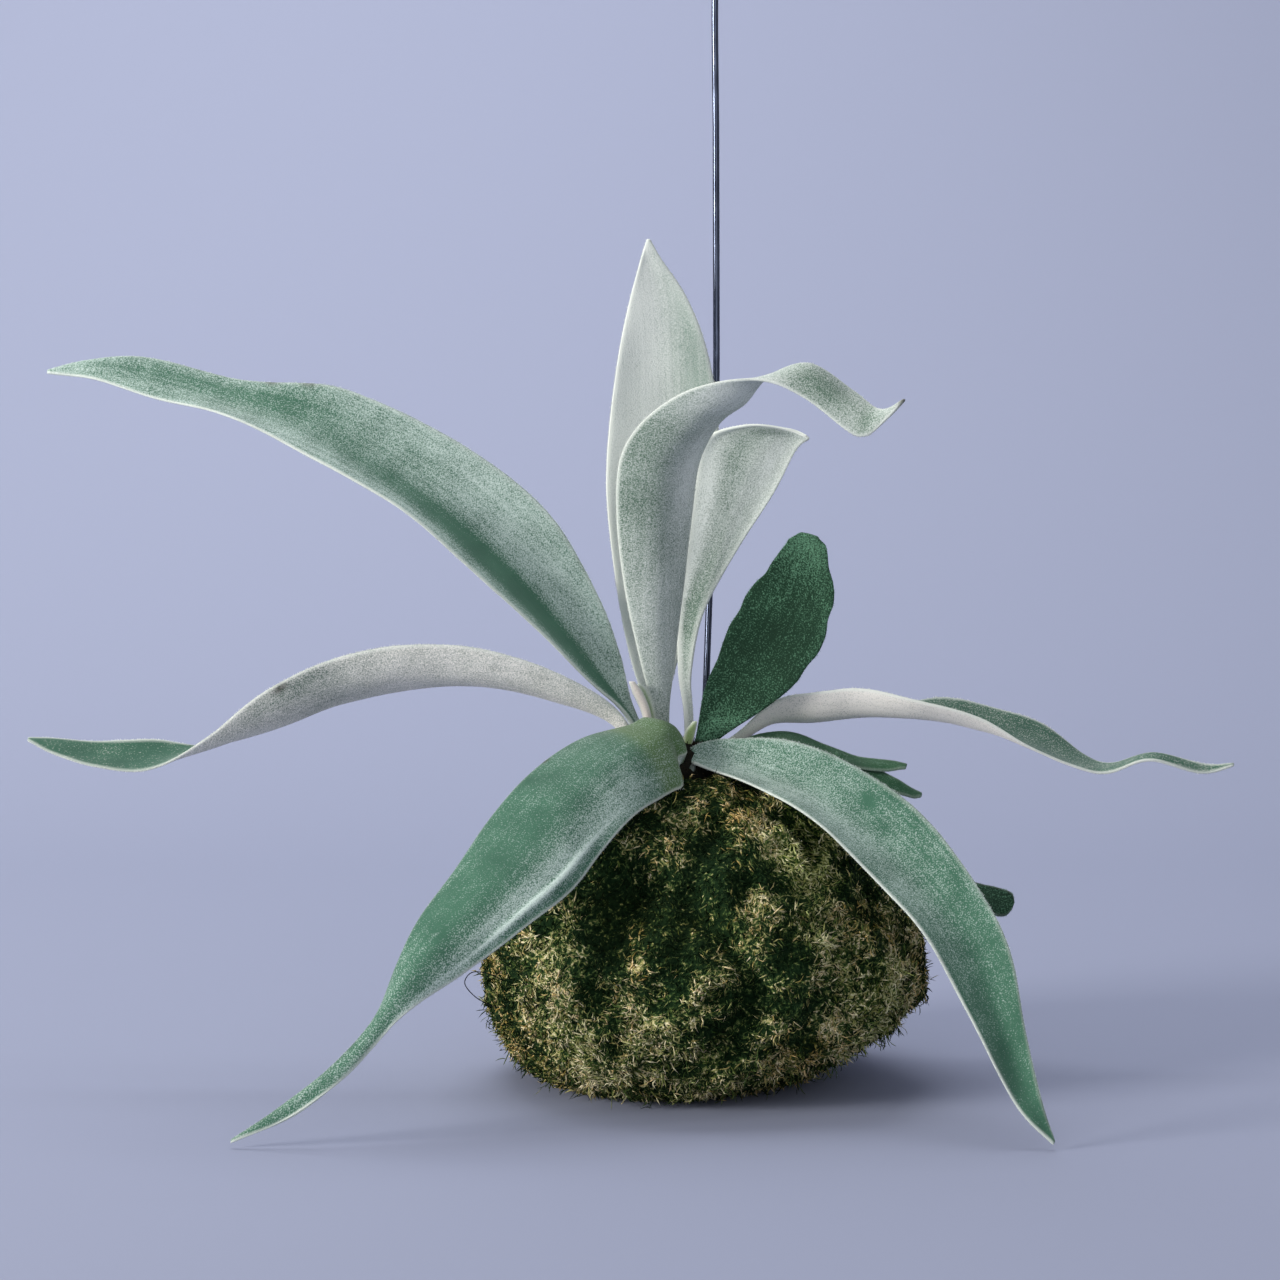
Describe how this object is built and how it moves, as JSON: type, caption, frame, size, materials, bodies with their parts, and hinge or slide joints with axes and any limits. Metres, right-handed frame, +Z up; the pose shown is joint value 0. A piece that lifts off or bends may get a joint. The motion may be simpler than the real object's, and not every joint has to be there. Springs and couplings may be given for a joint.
{
  "type": "kokedama moss ball plant",
  "caption": "Young staghorn fern growing from a moss ball, with a stiff wire hanger, resting on the ball's flat spot.",
  "frame": {"origin": "middle of the flat spot under the moss ball, on the surface that it rests on", "axes": "+Z up, +X to the right seen from the front, -Y towards the viewer, where two fronds fall forwards"},
  "size_m": [0.3452, 0.1542, 0.3256],
  "materials": {
    "frond_green": "felty green frond with pale hairs",
    "frond_pale": "white felted underside of a frond",
    "frond_dark": "older dark green frond, worn felt",
    "bud_white": "white woolly bud",
    "bud_green": "green bud",
    "shoot_green": "yellow-green shoot",
    "crown": "hairy brown scales",
    "soil": "damp soil and roots",
    "moss": "wild moss with straw strands",
    "wire": "glossy dark steel wire"
  },
  "bodies": {
    "root": {"frond_upper_left": "frond_green", "frond_left": "frond_pale", "frond_lower_left": "frond_green", "frond_lower_right": "frond_green", "frond_right": "frond_pale", "frond_round": "frond_dark", "frond_tall": "frond_pale", "frond_curled": "frond_pale", "frond_upright": "frond_pale", "frond_forked": "frond_dark", "frond_trailing": "frond_dark", "bud_white": "bud_white", "bud_green": "bud_green", "shoot": "shoot_green", "crown": "crown", "soil_core": "soil", "moss_jacket": "moss", "hanger_wire": "wire"}
  },
  "joints": []
}
